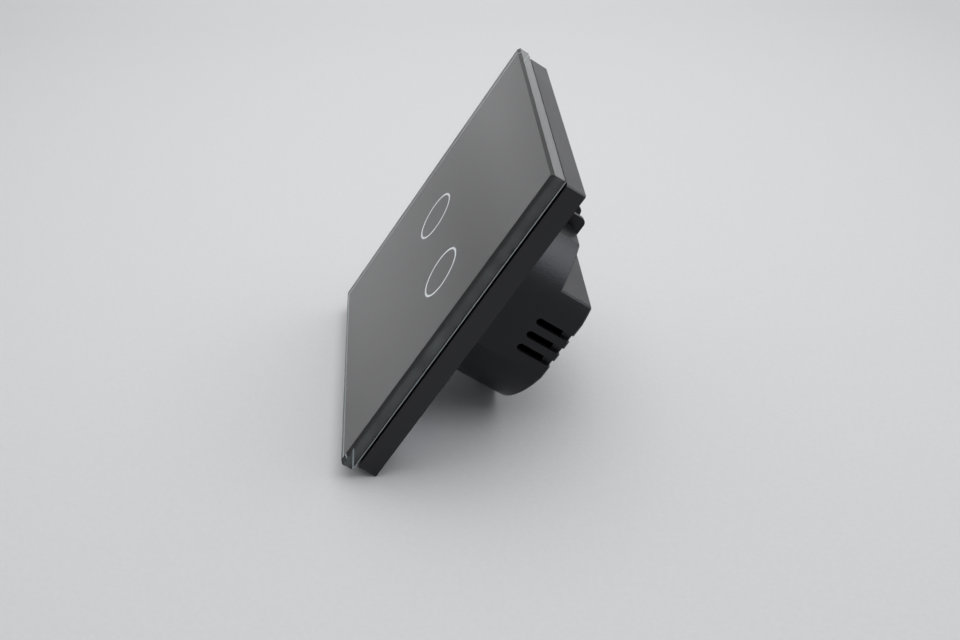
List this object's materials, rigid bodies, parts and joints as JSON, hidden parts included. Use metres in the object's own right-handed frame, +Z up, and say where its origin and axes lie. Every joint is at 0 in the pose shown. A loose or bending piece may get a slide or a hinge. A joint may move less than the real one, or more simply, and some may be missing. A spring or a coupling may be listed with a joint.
{
  "type": "double touch light switch",
  "caption": "Flush wall switch with a square black glass touch panel, two printed rings, a plastic frame and a round stepped rear housing with screw terminals.",
  "frame": {"origin": "axis of the round wall box where it crosses the wall plane, midway between the two box screws", "axes": "+Y into the wall, +Z up, +X to the right seen from the front; the glass faces -Y"},
  "size_m": [0.08, 0.0324, 0.08],
  "materials": {
    "black_glass": "polished, with black paint on the back",
    "bond_foam": "matt",
    "frame_plastic": "fine matt",
    "housing_plastic": "satin",
    "cover_plastic": "satin",
    "board_green": "gloss solder mask",
    "chip_black": "matt",
    "connector_black": "satin",
    "zinc_steel": "zinc plated",
    "lens_white": "translucent",
    "electrode_copper": "bare",
    "led_resin": "clear",
    "relay_case": "satin",
    "film_yellow": "satin",
    "transformer_dark": "matt",
    "can_sleeve": "gloss",
    "varistor_blue": "gloss",
    "fuse_ceramic": "gloss",
    "screw_steel": "plated",
    "cage_steel": "plated",
    "bar_brass": "bare"
  },
  "bodies": {
    "switch": {"glass_panel": "black_glass", "panel_adhesive": "bond_foam", "panel_frame": "frame_plastic", "front_cover": "cover_plastic", "touch_board": "board_green", "touch_chip": "chip_black", "header_socket": "connector_black", "header_pins": "connector_black", "mounting_plate": "zinc_steel", "rear_housing": "housing_plastic", "power_board": "board_green", "film_capacitor": "film_yellow", "transformer": "transformer_dark", "filter_capacitor": "can_sleeve", "surge_varistor": "varistor_blue", "fuse_resistor": "fuse_ceramic", "light_lens_left": "lens_white", "touch_electrode_left": "electrode_copper", "indicator_led_left": "led_resin", "relay_left": "relay_case", "light_lens_right": "lens_white", "touch_electrode_right": "electrode_copper", "indicator_led_right": "led_resin", "relay_right": "relay_case", "cover_screw_1": "screw_steel", "cover_screw_2": "screw_steel", "cover_screw_3": "screw_steel", "cover_screw_4": "screw_steel", "contact_bar_left": "bar_brass", "contact_bar_common": "bar_brass", "contact_bar_right": "bar_brass"},
    "terminal_screw_left": {"terminal_screw_left": "screw_steel"},
    "terminal_screw_common": {"terminal_screw_common": "screw_steel"},
    "terminal_screw_right": {"terminal_screw_right": "screw_steel"},
    "clamp_cage_left": {"clamp_cage_left": "cage_steel"},
    "clamp_cage_common": {"clamp_cage_common": "cage_steel"},
    "clamp_cage_right": {"clamp_cage_right": "cage_steel"}
  },
  "joints": [
    {"name": "screw_turn_left", "type": "hinge", "parent": "switch", "child": "terminal_screw_left", "pos_m": [-0.0066, 0.013, 0.0164], "axis": [0, -1, 0], "range_deg": [0, 1800]},
    {"name": "clamp_slide_left", "type": "slide", "parent": "switch", "child": "clamp_cage_left", "axis": [0, 1, 0], "range_m": [0, 0.0025]},
    {"name": "screw_turn_common", "type": "hinge", "parent": "switch", "child": "terminal_screw_common", "pos_m": [0, 0.013, 0.0164], "axis": [0, -1, 0], "range_deg": [0, 1800]},
    {"name": "clamp_slide_common", "type": "slide", "parent": "switch", "child": "clamp_cage_common", "axis": [0, 1, 0], "range_m": [0, 0.0025]},
    {"name": "screw_turn_right", "type": "hinge", "parent": "switch", "child": "terminal_screw_right", "pos_m": [0.0066, 0.013, 0.0164], "axis": [0, -1, 0], "range_deg": [0, 1800]},
    {"name": "clamp_slide_right", "type": "slide", "parent": "switch", "child": "clamp_cage_right", "axis": [0, 1, 0], "range_m": [0, 0.0025]}
  ],
  "couplings": [
    {"joint": "screw_turn_left", "follows": "clamp_slide_left", "rad_per_m": 12566},
    {"joint": "screw_turn_common", "follows": "clamp_slide_common", "rad_per_m": 12566},
    {"joint": "screw_turn_right", "follows": "clamp_slide_right", "rad_per_m": 12566}
  ]
}
